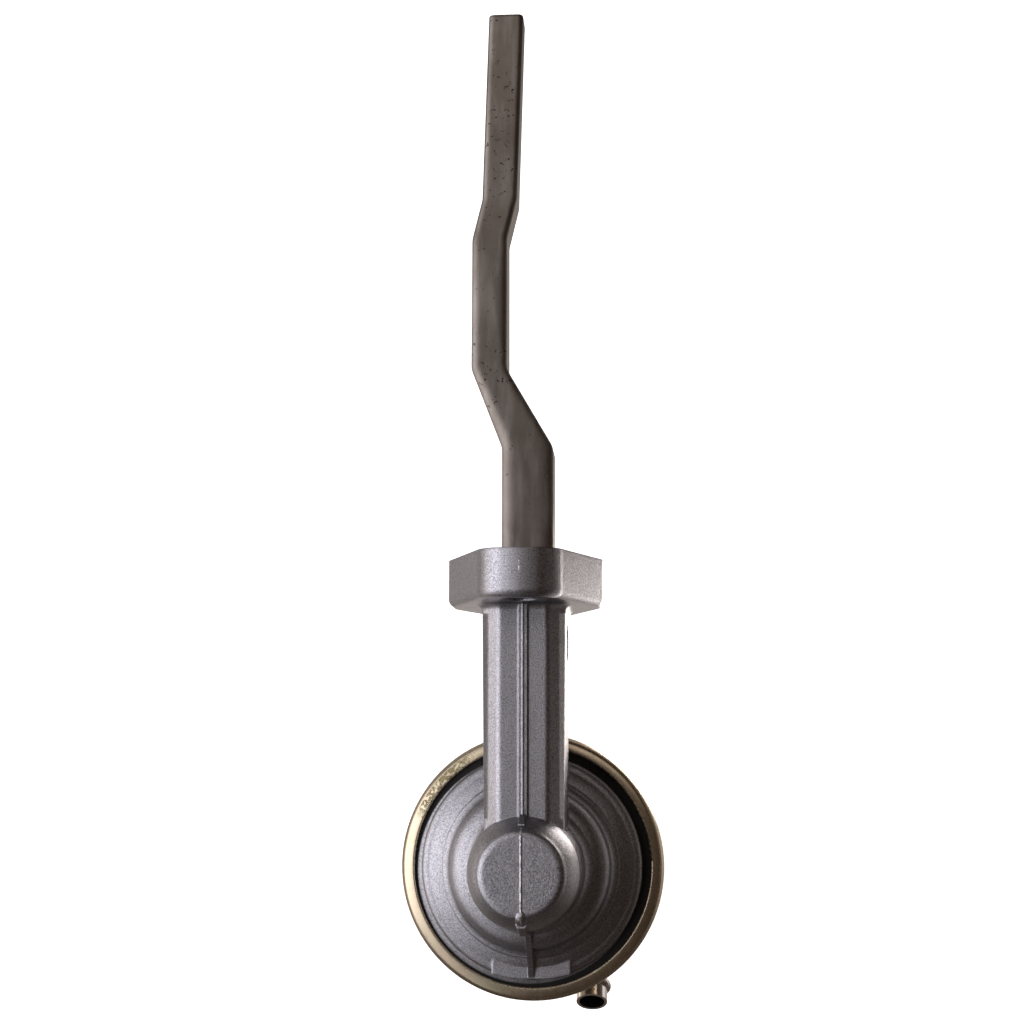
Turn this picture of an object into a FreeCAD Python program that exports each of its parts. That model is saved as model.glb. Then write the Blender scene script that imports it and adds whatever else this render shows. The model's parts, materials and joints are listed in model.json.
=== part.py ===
import FreeCAD, Part
import math
import os
import Sketcher
from FreeCAD import Placement, Rotation, Vector

# Mechanical fuel pump with a long cranked rocker arm, in millimetres.
# Origin: centre of the mounting face. +Y leaves that face along the arm, +Z runs up the dome,
# and the diaphragm axis stands axis_offset behind the mounting face.

SIZES = {
    # Diaphragm axis and cast body
    "axis_offset": 89.5,
    "cap_height": 25.0,
    "cap_radius": 12.3,
    "cap_round": 1.6,
    "shoulder_radius": 15.9,
    "shoulder_drop": 10.0,
    "shoulder_curve": 24.0,
    "dome_radius": 16.6,
    "dome_root_height": -5.0,
    "waist_radius": 19.0,
    "waist_height": -9.4,
    "waist_curve": 5.2,
    "band_foot_radius": 24.0,
    "band_foot_height": -15.2,
    "band_curve": 6.4,
    "step_radius": 26.7,
    "step_height": -18.3,
    "step_depth": 1.2,
    "step_curve": 4.0,
    "skirt_radius": 33.4,
    "skirt_height": -21.4,
    "skirt_curve": 13.0,
    "cast_round": 2.6,
    "edge_round": 0.6,
    "clamp_radius": 38.6,
    "clamp_thickness": 3.0,
    "parting_height": -30.0,
    # Neck and mounting flange
    "neck_half_width": 12.25,
    "neck_end_half_width": 11.4,
    "neck_half_depth": 16.0,
    "neck_flat_half": 7.1,
    "neck_side_half": 10.8,
    "neck_round": 1.8,
    "flange_half_width": 22.65,
    "flange_half_height": 34.0,
    "flange_thickness": 13.7,
    "flange_nose_half": 9.8,
    "flange_side_half": 4.6,
    "nose_round": 7.5,
    "side_round": 2.2,
    "back_round": 2.2,
    "root_round": 2.4,
    "bolt_spacing": 52.0,
    "bolt_hole": 8.7,
    # Raised casting detail
    "rib_half_width": 1.8,
    "rib_proud": 1.0,
    "seam_half_width": 0.25,
    "seam_proud": 0.35,
    "fin_half_width": 0.9,
    "fin_proud": 1.4,
    "pad_half_width": 11.8,
    "pad_height": -20.6,
    "gate_half_width": 2.2,
    "gate_length": 4.6,
    # Inside of the casting
    "slot_half_width": 9.2,
    "slot_half_height": 12.4,
    "dome_bore": 12.6,
    "dome_roof": 21.4,
    "chamber_floor": -12.4,
    "spring_pocket_radius": 15.4,
    "spring_pocket_roof": -17.6,
    "chamber_roof": -25.0,
    "chamber_roof_radius": 25.5,
    "cast_wall": 2.4,
    "seal_bore": 8.0,
    "seal_bore_roof": -15.2,
    "running_clearance": 0.05,
    "face_clearance": 0.3,
    # Pivot
    "pivot_offset": 24.0,
    "pin_radius": 4.0,
    "plug_radius": 5.6,
    "plug_thickness": 1.2,
    "plug_recess": 0.35,
    "bush_wall": 1.5,
    "spacer_radius": 7.0,
    # Rocker arm
    "arm_reach": 170.0,
    "arm_width": 10.6,
    "arm_foot_width": 15.2,
    "arm_foot_centre": 0.65,
    "arm_tip_centre": -6.1,
    "arm_upper_centre": -7.9,
    "arm_middle_centre": -10.9,
    "arm_bend_end": 33.5,
    "arm_bend_start": 57.5,
    "arm_jog_start": 98.0,
    "arm_jog_end": 110.5,
    "arm_shoulder": 10.0,
    "arm_tip_half_depth": 5.4,
    "arm_foot_half_depth": 7.4,
    "arm_knee_round": 6.0,
    "arm_edge_round": 1.6,
    "hub_radius": 8.6,
    "hub_half_width": 4.5,
    "inner_arm_top": 5.0,
    "inner_arm_bottom": -4.0,
    "inner_arm_step": 20.0,
    "seat_radius": 7.3,
    "seat_thickness": 3.4,
    "seat_nub_radius": 3.9,
    "seat_nub_height": 2.0,
    # Link lever
    "link_sheet": 1.6,
    "link_ear_radius": 7.8,
    "link_web_start": 10.6,
    "link_web_length": 24.0,
    "hook_top": -6.9,
    "hook_half_length": 1.6,
    "link_tail": 5.0,
    "link_tail_top": -1.2,
    # Pull rod and diaphragm
    "rod_radius": 3.0,
    "rod_head_radius": 4.4,
    "rod_head_thickness": 2.4,
    "diaphragm_thickness": 1.2,
    "diaphragm_dish": 2.4,
    "plate_radius": 22.0,
    "plate_thickness": 1.3,
    "plate_lip": 2.0,
    "nut_across_flats": 9.0,
    "nut_height": 2.6,
    "seal_height": 3.4,
    "retainer_radius": 14.6,
    "retainer_sheet": 1.0,
    # Springs
    "return_coil_radius": 5.9,
    "return_wire": 1.7,
    "diaphragm_coil_radius": 11.6,
    "diaphragm_wire": 1.9,
    # Lower body
    "sheet": 1.2,
    "crimp_clearance": 0.2,
    "rim_gap": 2.5,
    "rim_round": 1.7,
    "bowl_radius": 31.0,
    "bowl_depth": 27.8,
    "bowl_flange_width": 3.6,
    "cover_lip_gap": 1.6,
    "gasket_thickness": 1.2,
    "gasket_overhang": 1.6,
    # Valves
    "valve_plate_drop": 10.0,
    "valve_plate_thickness": 3.0,
    "partition_half": 1.2,
    "valve_offset": 15.6,
    "cage_radius": 9.0,
    "cage_wall": 1.4,
    "cage_height": 6.8,
    "cage_floor": 1.4,
    "cage_stand": 0.6,
    "flow_hole_radius": 1.35,
    "flow_circle": 4.1,
    "disc_thickness": 0.9,
    "disc_radius": 6.7,
    "valve_coil_radius": 3.2,
    "valve_wire": 0.6,
    "retainer_thickness": 0.9,
    # Nipples
    "tube_radius": 4.75,
    "tube_wall": 0.9,
    "bead_proud": 1.15,
    "bead_length": 3.0,
    "bead_setback": 3.9,
    "outlet_x": 17.4,
    "outlet_height": -50.6,
    "outlet_sunk": 8.5,
    "outlet_straight": 5.2,
    "outlet_rise": 36.0,
    "outlet_bend": 12.0,
    "outlet_tip": 9.0,
    "inlet_x": -15.5,
    "inlet_length": 21.0,
    "inlet_collar": 2.2,
}

FLOW_HOLES = 6
RETAINER_WINDOWS = 4
RETURN_TURNS = 4.5
DIAPHRAGM_TURNS = 3.0
VALVE_TURNS = 2.5
LEAST_CUT = 0.01

doc = FreeCAD.newDocument("fuel_pump")
sheet = doc.addObject("Spreadsheet::Sheet", "Sizes")


class Size:
    """A dimension with its number and the formula that gives it from the sheet."""

    def __init__(self, value, formula):
        self.value = float(value)
        self.formula = formula

    def __float__(self):
        return self.value

    def __add__(self, other):
        return Size(self.value + float(other), "(%s + %s)" % (self.formula, text(other)))

    def __radd__(self, other):
        return Size(float(other) + self.value, "(%s + %s)" % (text(other), self.formula))

    def __sub__(self, other):
        return Size(self.value - float(other), "(%s - %s)" % (self.formula, text(other)))

    def __rsub__(self, other):
        return Size(float(other) - self.value, "(%s - %s)" % (text(other), self.formula))

    def __mul__(self, other):
        return Size(self.value * float(other), "(%s * %s)" % (self.formula, text(other)))

    __rmul__ = __mul__

    def __truediv__(self, other):
        return Size(self.value / float(other), "(%s / %s)" % (self.formula, text(other)))

    def __neg__(self):
        return Size(-self.value, "(0 - %s)" % self.formula)


def text(value):
    """The formula of a size, or a plain number as text."""
    return value.formula if isinstance(value, Size) else repr(float(value))


class Sheet:
    """Every driving dimension by name."""


def fill_sheet():
    """Writes the driving dimensions to the sheet, with an alias for each."""
    sizes = Sheet()
    for row, (name, value) in enumerate(SIZES.items(), start=1):
        sheet.set("A%d" % row, name)
        sheet.set("B%d" % row, str(value))
        sheet.setAlias("B%d" % row, name)
        setattr(sizes, name, Size(value, "Sizes." + name))
    doc.recompute()
    return sizes


s = fill_sheet()
parts = {}

# Places and sizes that several pieces share
AXIS = (0, -s.axis_offset)
LINK_INNER = s.hub_half_width + s.face_clearance
LINK_OUTER = LINK_INNER + s.link_sheet
LEVER_LENGTH = s.axis_offset - s.pivot_offset
CLAMP_TOP = s.parting_height + s.clamp_thickness
DIAPHRAGM_FOOT = s.parting_height - s.diaphragm_thickness
CENTRE_TOP = s.parting_height - s.diaphragm_dish
CENTRE_FOOT = CENTRE_TOP - s.diaphragm_thickness
BOWL_FOOT = DIAPHRAGM_FOOT - s.sheet - s.bowl_depth
GASKET_FOOT = BOWL_FOOT - s.gasket_thickness
COVER_FOOT = GASKET_FOOT - s.sheet
SEAL_FOOT = s.seal_bore_roof - s.seal_height
RETAINER_FOOT = SEAL_FOOT - s.retainer_sheet
CHAMBER_RADIUS = s.skirt_radius - s.cast_wall
RIM_RADIUS = s.clamp_radius + s.crimp_clearance + s.sheet
RIM_LIP = s.skirt_radius + s.rim_gap
BOWL_FLANGE = s.bowl_radius + s.bowl_flange_width
COVER_RADIUS = BOWL_FLANGE + s.crimp_clearance + s.sheet
COVER_LIP = s.bowl_radius + s.cover_lip_gap
GASKET_INNER = s.bowl_radius - s.sheet - s.gasket_overhang
VALVE_PLATE_TOP = s.parting_height - s.valve_plate_drop
OUTLET_START = s.bowl_radius - s.outlet_sunk
OUTLET_RUN = OUTLET_START + s.outlet_straight
BUSH_OUTER = s.pin_radius + s.running_clearance + s.bush_wall
NECK_TAPER = (s.neck_half_width - s.neck_end_half_width) / (s.axis_offset - s.flange_thickness / 2)
NECK_AT_PIN = s.neck_half_width - NECK_TAPER * (s.pivot_offset - s.flange_thickness / 2)
PLUG_OUTER = NECK_AT_PIN - s.plug_recess
PLUG_INNER = PLUG_OUTER - s.plug_thickness
BEAD_CURVE = s.bead_proud / 2 + s.bead_length * s.bead_length / (s.bead_proud * 8)


def bind(item, prop, value):
    """Ties a property to the sheet."""
    item.setExpression(prop, text(value))


def new_body(label):
    """A body whose label names its file."""
    body = doc.addObject("PartDesign::Body", label)
    body.Label = label
    parts[label] = body
    return body


def plane(body, role):
    """One of the body's own origin planes."""
    return next(item for item in body.Origin.OriginFeatures if item.Role == role)


def new_sketch(body, name, role, offset=(0, 0, 0)):
    """A sketch on an origin plane of the body, moved by offset in the plane's own frame."""
    sketch = body.newObject("Sketcher::SketchObject", name)
    sketch.AttachmentSupport = [(plane(body, role), "")]
    sketch.MapMode = "FlatFace"
    for axis, value in zip("xyz", offset):
        bind(sketch, "AttachmentOffset.Base." + axis, value)
    return sketch


def pin_point(sketch, index, position, u, v):
    """Fixes a point of a sketch to the values of its two coordinates."""
    for kind, axis, value in (("DistanceX", -2, u), ("DistanceY", -1, v)):
        if float(value) == 0:
            sketch.addConstraint(Sketcher.Constraint("PointOnObject", index, position, axis))
            continue
        entry = sketch.addConstraint(Sketcher.Constraint(kind, -1, 1, index, position, float(value)))
        sketch.setExpression("Constraints[%d]" % entry, text(value))


def arc_between(start, end, radius):
    """The shorter arc of that radius between two points, to the left of the chord if positive."""
    chord = end - start
    left = Vector(-chord.y, chord.x, 0).normalize()
    rise = math.sqrt(radius ** 2 - (chord.Length / 2) ** 2)
    centre = (start + end) / 2 + left * math.copysign(rise, radius)
    first, last = (start, end) if radius > 0 else (end, start)
    angles = [math.atan2(point.y - centre.y, point.x - centre.x) for point in (first, last)]
    ring = Part.Circle(centre, Vector(0, 0, 1), abs(radius))
    return Part.ArcOfCircle(ring, angles[0], angles[1])


def outline(sketch, corners):
    """A closed outline. A corner's third value makes the stretch after it an arc of that
    radius, positive where the arc turns left."""
    first = sketch.GeometryCount
    count = len(corners)
    points = [Vector(float(corner[0]), float(corner[1]), 0) for corner in corners]
    starts = []
    for index, corner in enumerate(corners):
        ends = (points[index], points[(index + 1) % count])
        if len(corner) == 2:
            sketch.addGeometry(Part.LineSegment(*ends))
            starts.append(1)
            continue
        number = sketch.addGeometry(arc_between(*ends, float(corner[2])))
        entry = sketch.addConstraint(Sketcher.Constraint("Radius", number, abs(float(corner[2]))))
        sketch.setExpression("Constraints[%d]" % entry, "abs(%s)" % text(corner[2]))
        starts.append(1 if float(corner[2]) > 0 else 2)
    for index in range(count):
        following = (index + 1) % count
        end = 3 - starts[index]
        sketch.addConstraint(Sketcher.Constraint(
            "Coincident", first + index, end, first + following, starts[following]))
    for index, corner in enumerate(corners):
        pin_point(sketch, first + index, starts[index], corner[0], corner[1])


def circle(sketch, radius, u=0, v=0):
    """A circle of a sketch, tied to the sheet."""
    index = sketch.addGeometry(Part.Circle(Vector(float(u), float(v), 0), Vector(0, 0, 1), float(radius)))
    entry = sketch.addConstraint(Sketcher.Constraint("Radius", index, float(radius)))
    sketch.setExpression("Constraints[%d]" % entry, text(radius))
    pin_point(sketch, index, 3, u, v)


def mirrored(half):
    """The corners of a half outline at positive u, closed by their mirror image."""
    return half + [(-u, v) for u, v in reversed(half)]


def pad(body, name, sketch, length, both_ways=False, reverse=False):
    """Adds a straight extrusion of a sketch."""
    feature = body.newObject("PartDesign::Pad", name)
    feature.Profile = sketch
    bind(feature, "Length", length)
    feature.Midplane = both_ways
    feature.Reversed = reverse
    doc.recompute()
    return feature


def pocket(body, name, sketch, length=None, both_ways=False, reverse=False):
    """Cuts a straight extrusion of a sketch and proves that it removed something."""
    before = body.Shape.Volume
    feature = body.newObject("PartDesign::Pocket", name)
    feature.Profile = sketch
    feature.Midplane = both_ways
    feature.Reversed = reverse
    if length is None:
        feature.Type = "ThroughAll"
    else:
        bind(feature, "Length", length)
    doc.recompute()
    if not body.Shape.Volume < before - LEAST_CUT:
        raise RuntimeError(name + " cuts nothing")
    return feature


def turn(body, name, sketch, cut=False):
    """Turns a sketch round its own vertical axis, to add or to cut."""
    before = body.Shape.Volume if cut else 0
    feature = body.newObject("PartDesign::Groove" if cut else "PartDesign::Revolution", name)
    feature.Profile = sketch
    feature.ReferenceAxis = (sketch, ["V_Axis"])
    feature.Angle = 360
    doc.recompute()
    if cut and not body.Shape.Volume < before - LEAST_CUT:
        raise RuntimeError(name + " cuts nothing")
    return feature


def round_edges(body, name, radius, test):
    """Fillets the edges of the tip that pass a test."""
    tip = body.Tip
    names = ["Edge%d" % (n + 1) for n, edge in enumerate(tip.Shape.Edges) if test(edge)]
    if not names:
        raise RuntimeError(name + " finds no edge")
    feature = body.newObject("PartDesign::Fillet", name)
    feature.Base = (tip, names)
    bind(feature, "Radius", radius)
    doc.recompute()
    return feature


def polar(body, name, feature, sketch, count):
    """Repeats a feature evenly round a sketch's normal."""
    pattern = body.newObject("PartDesign::PolarPattern", name)
    pattern.Originals = [feature]
    pattern.Axis = (sketch, ["N_Axis"])
    pattern.Angle = 360
    pattern.Occurrences = count
    body.Tip = pattern
    doc.recompute()
    return pattern


def near(a, b, tolerance=1e-4):
    """Whether two lengths agree."""
    return abs(float(a) - float(b)) < tolerance


def is_straight(edge, axis):
    """Whether an edge is a straight line along an axis, leaning up to 3 degrees."""
    if len(edge.Vertexes) < 2:
        return False
    way = edge.Vertexes[1].Point - edge.Vertexes[0].Point
    if not near(way.Length, edge.Length):
        return False
    return abs(way.dot(axis)) > math.cos(math.radians(3)) * way.Length


def on_axis(body, name, corners, cut=False):
    """Turns a profile of radius and height round the diaphragm axis."""
    sketch = new_sketch(body, name + "_profile", "YZ_Plane", (-s.axis_offset, 0, 0))
    outline(sketch, corners)
    return turn(body, name, sketch, cut)


def cast_body(body):
    """Dome, stepped rings and clamping flange, turned about the diaphragm axis."""
    on_axis(body, "body_turning", [
        (0, s.cap_height),
        (s.cap_radius - s.cap_round, s.cap_height, -s.cap_round),
        (s.cap_radius, s.cap_height - s.cap_round, -s.shoulder_curve),
        (s.shoulder_radius, s.cap_height - s.shoulder_drop),
        (s.dome_radius, s.dome_root_height, s.waist_curve),
        (s.waist_radius, s.waist_height, -s.band_curve),
        (s.band_foot_radius, s.band_foot_height, s.step_curve),
        (s.step_radius - s.edge_round, s.step_height, -s.edge_round),
        (s.step_radius, s.step_height - s.edge_round),
        (s.step_radius, s.step_height - s.step_depth, -s.skirt_curve),
        (s.skirt_radius - s.cast_round, s.skirt_height, -s.cast_round),
        (s.skirt_radius, s.skirt_height - s.cast_round),
        (s.skirt_radius, CLAMP_TOP),
        (s.clamp_radius, CLAMP_TOP),
        (s.clamp_radius, s.parting_height),
        (0, s.parting_height),
    ])


def neck_section(body, name, half_width, back):
    """One eight-sided section of the neck, back behind the mounting face."""
    sketch = new_sketch(body, name, "XZ_Plane", (0, 0, back))
    outline(sketch, mirrored([
        (s.neck_flat_half, s.neck_half_depth),
        (half_width, s.neck_side_half),
        (half_width, -s.neck_side_half),
        (s.neck_flat_half, -s.neck_half_depth),
    ]))
    return sketch


def neck(body):
    """The tapered eight-sided neck, from the flange to the diaphragm axis."""
    loft = body.newObject("PartDesign::AdditiveLoft", "neck")
    loft.Profile = neck_section(body, "neck_front_section", s.neck_half_width, s.flange_thickness / 2)
    loft.Sections = [neck_section(body, "neck_back_section", s.neck_end_half_width, s.axis_offset)]
    loft.Ruled = True
    doc.recompute()
    along = Vector(0, 1, 0)
    shortest = float(LEVER_LENGTH) / 2
    round_edges(body, "neck_edges", s.neck_round, lambda e: is_straight(e, along) and e.Length > shortest)


def flange(body):
    """The thick six-sided mounting flange with rounded nose and corners."""
    sketch = new_sketch(body, "flange_outline", "XZ_Plane")
    outline(sketch, mirrored([
        (s.flange_nose_half, s.flange_half_height),
        (s.flange_half_width, s.flange_side_half),
        (s.flange_half_width, -s.flange_side_half),
        (s.flange_nose_half, -s.flange_half_height),
    ]))
    pad(body, "flange", sketch, s.flange_thickness)
    along = Vector(0, 1, 0)
    thick = float(s.flange_thickness)

    def corner(edge, half_width, half_height):
        point = edge.Vertexes[0].Point
        at_corner = near(abs(point.x), half_width, 1e-3) and near(abs(point.z), half_height, 1e-3)
        return is_straight(edge, along) and near(edge.Length, thick, 1e-3) and at_corner

    round_edges(body, "nose_corners", s.nose_round,
                lambda e: corner(e, s.flange_nose_half, s.flange_half_height))
    round_edges(body, "side_corners", s.side_round,
                lambda e: corner(e, s.flange_half_width, s.flange_side_half))

    def on_back(edge):
        return all(near(vertex.Point.y, -thick, 1e-3) for vertex in edge.Vertexes)

    def in_neck(edge):
        box = edge.BoundBox
        reach = float(s.neck_half_depth) + 1
        return max(abs(box.ZMin), abs(box.ZMax)) < reach and max(abs(box.XMin), abs(box.XMax)) < reach - 2

    round_edges(body, "flange_root", s.root_round, lambda e: on_back(e) and in_neck(e))
    round_edges(body, "flange_back_edge", s.back_round, lambda e: on_back(e) and not in_neck(e))


def block(body, name, role, corners, length, offset=(0, 0, 0), **ways):
    """A pad of an outline on an origin plane."""
    sketch = new_sketch(body, name + "_outline", role, offset)
    outline(sketch, corners)
    return pad(body, name, sketch, length, **ways)


def raised_detail(body):
    """Rib, casting seam, gate mark, fin and rectangular pad."""
    front = s.neck_half_depth
    sunk = front - s.rib_proud
    rib_start = s.flange_thickness / 2
    rib_length = s.axis_offset - s.dome_radius / 2 - rib_start
    rib_top = front + s.rib_proud
    block(body, "neck_rib", "XZ_Plane", [
        (-s.rib_half_width, sunk),
        (-s.rib_half_width + s.rib_proud / 2, rib_top),
        (s.rib_half_width - s.rib_proud / 2, rib_top),
        (s.rib_half_width, sunk),
    ], rib_length, (0, 0, rib_start))
    block(body, "rib_seam", "XZ_Plane", [
        (-s.seam_half_width, sunk),
        (-s.seam_half_width, rib_top + s.seam_proud),
        (s.seam_half_width, rib_top + s.seam_proud),
        (s.seam_half_width, sunk),
    ], rib_length, (0, 0, rib_start))
    roof = s.cap_height
    block(body, "cap_seam", "YZ_Plane", [
        (-s.cap_radius, roof - s.cap_round),
        (-s.cap_radius + s.cap_round, roof + s.seam_proud),
        (s.cap_radius - s.cap_round, roof + s.seam_proud),
        (s.cap_radius, roof - s.cap_round),
    ], s.seam_half_width * 2, (-s.axis_offset, 0, 0), both_ways=True)
    shoulder = s.cap_height - s.shoulder_drop
    fin_top = s.cap_height - s.cap_round * 2
    fin_root = s.cap_radius - s.fin_proud
    block(body, "front_fin", "YZ_Plane", [
        (fin_root, fin_top),
        (s.cap_radius + s.fin_proud, fin_top),
        (s.shoulder_radius + s.fin_proud, shoulder),
        (s.shoulder_radius + s.fin_proud, s.neck_side_half),
        (fin_root, s.neck_side_half),
    ], s.fin_half_width * 2, (-s.axis_offset, 0, 0), both_ways=True)
    block(body, "back_fin", "YZ_Plane", [
        (-fin_root, fin_top),
        (-s.cap_radius - s.fin_proud, fin_top),
        (-s.shoulder_radius - s.fin_proud, shoulder),
        (-s.dome_radius - s.fin_proud, s.dome_root_height),
        (-s.waist_radius - s.fin_proud * 2, s.waist_height),
        (-s.step_radius - s.fin_proud, s.step_height + s.fin_proud),
        (-s.skirt_radius + s.fin_half_width, s.skirt_height + s.fin_proud / 2),
        (-s.skirt_radius + s.fin_half_width, s.skirt_height - s.neck_round),
        (-fin_root, s.skirt_height - s.neck_round),
    ], s.fin_half_width * 2, (-s.axis_offset, 0, 0), both_ways=True)
    gate_start = s.axis_offset + s.cap_radius - s.gate_half_width
    block(body, "gate_mark", "XY_Plane", [
        (-s.gate_half_width, -gate_start),
        (s.gate_half_width, -gate_start),
        (s.gate_half_width, -gate_start - s.gate_length / 2),
        (s.gate_half_width / 2, -gate_start - s.gate_length),
        (-s.gate_half_width / 2, -gate_start - s.gate_length),
        (-s.gate_half_width, -gate_start - s.gate_length / 2),
    ], s.shoulder_drop, (0, 0, fin_top - s.shoulder_drop))
    pad_inner = s.axis_offset + s.band_foot_radius
    pad_outer = s.axis_offset + s.skirt_radius - s.edge_round
    pad_corner = pad_outer - s.edge_round * 2
    pad_foot = CLAMP_TOP - s.edge_round
    block(body, "front_pad", "XY_Plane", [
        (-s.pad_half_width, -pad_inner),
        (s.pad_half_width, -pad_inner),
        (s.pad_half_width, -pad_corner),
        (s.pad_half_width / 2, -pad_outer),
        (-s.pad_half_width / 2, -pad_outer),
        (-s.pad_half_width, -pad_corner),
    ], s.pad_height - pad_foot, (0, 0, pad_foot))


def hollow(body):
    """Lever chamber, dome bore, rod guide, spring pocket and diaphragm chamber."""
    on_axis(body, "diaphragm_chamber", [
        (0, s.parting_height),
        (CHAMBER_RADIUS, s.parting_height),
        (CHAMBER_RADIUS, s.parting_height + s.diaphragm_thickness),
        (s.chamber_roof_radius, s.chamber_roof),
        (s.spring_pocket_radius, s.chamber_roof),
        (s.spring_pocket_radius, s.spring_pocket_roof),
        (s.seal_bore, s.spring_pocket_roof),
        (s.seal_bore, s.seal_bore_roof),
        (0, s.seal_bore_roof),
    ], cut=True)
    on_axis(body, "dome_hollow", [
        (0, s.chamber_floor),
        (s.dome_bore, s.chamber_floor),
        (s.dome_bore, s.dome_roof - s.cap_round),
        (s.dome_bore - s.cap_round, s.dome_roof),
        (0, s.dome_roof),
    ], cut=True)
    guide = s.rod_radius + s.running_clearance
    on_axis(body, "rod_guide", [
        (0, s.seal_bore_roof - s.face_clearance),
        (guide, s.seal_bore_roof - s.face_clearance),
        (guide, s.chamber_floor + s.face_clearance),
        (0, s.chamber_floor + s.face_clearance),
    ], cut=True)
    slot = new_sketch(body, "lever_slot_outline", "XZ_Plane")
    outline(slot, mirrored([
        (s.slot_half_width, s.slot_half_height),
        (s.slot_half_width, -s.slot_half_height),
    ]))
    pocket(body, "lever_slot", slot, s.axis_offset, reverse=True)
    bore = new_sketch(body, "pin_bore_outline", "YZ_Plane")
    circle(bore, s.pin_radius, -s.pivot_offset, 0)
    pocket(body, "pin_bore", bore, s.flange_half_width * 2, both_ways=True)
    for side, reverse in (("left", True), ("right", False)):
        place = PLUG_INNER if side == "right" else -PLUG_INNER
        seat = new_sketch(body, "plug_seat_outline_" + side, "YZ_Plane", (0, 0, place))
        circle(seat, s.plug_radius, -s.pivot_offset, 0)
        pocket(body, "plug_seat_" + side, seat, s.plug_thickness * 4, reverse=not reverse)
    holes = new_sketch(body, "bolt_holes_outline", "XZ_Plane")
    for side in (-1, 1):
        circle(holes, s.bolt_hole / 2, 0, s.bolt_spacing / 2 * side)
    pocket(body, "bolt_holes", holes, s.flange_thickness, reverse=True)


def upper_housing():
    """The die-cast housing, one casting from the mounting flange to the diaphragm clamp."""
    body = new_body("upper_housing")
    cast_body(body)
    neck(body)
    flange(body)
    raised_detail(body)
    hollow(body)


def turned(label, corners, place):
    """A body turned about an upright axis that stands at place in X and Y."""
    body = new_body(label)
    sketch = new_sketch(body, label + "_profile", "YZ_Plane", (place[1], 0, place[0]))
    outline(sketch, corners)
    turn(body, label + "_turning", sketch)
    return body


def ring(label, inner, outer, foot, top, place):
    """A plain ring or washer between two heights."""
    return turned(label, [(inner, foot), (outer, foot), (outer, top), (inner, top)], place)


def arm_edge(side):
    """The corners of one long edge of the rocker arm seen from above, tip first."""
    slim = s.arm_width / 2 * side
    wide = s.arm_foot_width / 2 * side
    hub = s.hub_half_width * side
    return [
        (s.arm_tip_centre + slim, s.arm_reach),
        (s.arm_upper_centre + slim, s.arm_jog_end),
        (s.arm_middle_centre + slim, s.arm_jog_start),
        (s.arm_middle_centre + slim, s.arm_bend_start),
        (s.arm_foot_centre + wide, s.arm_bend_end),
        (s.arm_foot_centre + wide, -s.arm_shoulder),
        (hub, -s.arm_shoulder - (s.arm_foot_width / 2 - s.hub_half_width)),
        (hub, -s.axis_offset),
    ]


def rocker_arm():
    """The forged rocker arm: cranked outer arm, hub, and inner arm with the spring seat."""
    body = new_body("rocker_arm")
    plan = new_sketch(body, "arm_plan", "XY_Plane")
    outline(plan, arm_edge(1) + list(reversed(arm_edge(-1))))
    pad(body, "arm_forging", plan, s.hub_radius * 2, both_ways=True)
    upright = Vector(0, 0, 1)

    def knee(edge):
        y = edge.Vertexes[0].Point.y
        return is_straight(edge, upright) and float(s.arm_bend_end) - 1 < y < float(s.arm_jog_end) + 1

    round_edges(body, "knees", s.arm_knee_round, knee)
    ceiling = s.hub_radius + 1
    for side, name, inner_edge in ((1, "top", s.inner_arm_top), (-1, "under", -s.inner_arm_bottom)):
        cut = new_sketch(body, "arm_side_" + name, "YZ_Plane")
        outline(cut, [
            (s.arm_reach + 1, s.arm_tip_half_depth * side),
            (s.arm_reach + 1, ceiling * side),
            (-s.axis_offset - 1, ceiling * side),
            (-s.axis_offset - 1, inner_edge * side),
            (-s.pivot_offset - s.hub_radius, inner_edge * side),
            (-s.pivot_offset - s.hub_radius / 2, s.hub_radius * side),
            (-s.pivot_offset + s.hub_radius / 2, s.hub_radius * side),
            (-s.arm_shoulder + s.arm_edge_round, s.arm_foot_half_depth * side),
            (s.arm_bend_end, s.arm_foot_half_depth * side),
        ])
        pocket(body, "arm_thinning_" + name, cut, s.flange_half_width * 2, both_ways=True)
    step = new_sketch(body, "arm_step", "YZ_Plane")
    step_start = -s.axis_offset + s.inner_arm_step / 2
    outline(step, [
        (step_start, s.inner_arm_bottom - 1),
        (-s.axis_offset - 1, s.inner_arm_bottom - 1),
        (-s.axis_offset - 1, s.inner_arm_top - s.seat_thickness),
        (step_start, s.inner_arm_top - s.seat_thickness),
    ])
    pocket(body, "arm_relief", step, s.flange_half_width * 2, both_ways=True)

    def long_edge(edge):
        box = edge.BoundBox
        level = box.ZMax - box.ZMin < box.DiagonalLength / 4
        return level and box.YMax > float(s.arm_edge_round) and box.YMin < float(s.arm_reach) - 1

    round_edges(body, "arm_long_edges", s.arm_edge_round, long_edge)

    def at_tip(edge):
        return all(near(vertex.Point.y, s.arm_reach, 1e-3) for vertex in edge.Vertexes)

    round_edges(body, "arm_tip_edges", s.arm_edge_round / 3, at_tip)
    seat = new_sketch(body, "seat_plan", "XY_Plane", (0, 0, s.inner_arm_top - s.seat_thickness))
    circle(seat, s.seat_radius, 0, -s.axis_offset)
    pad(body, "spring_seat", seat, s.seat_thickness)
    nub = new_sketch(body, "nub_plan", "XY_Plane", (0, 0, s.inner_arm_top - s.edge_round))
    circle(nub, s.seat_nub_radius, 0, -s.axis_offset)
    pad(body, "spring_nub", nub, s.seat_nub_height + s.edge_round)
    bore = new_sketch(body, "hub_bore_outline", "YZ_Plane")
    circle(bore, BUSH_OUTER, -s.pivot_offset, 0)
    pocket(body, "hub_bore", bore, s.flange_half_width * 2, both_ways=True)


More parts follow.
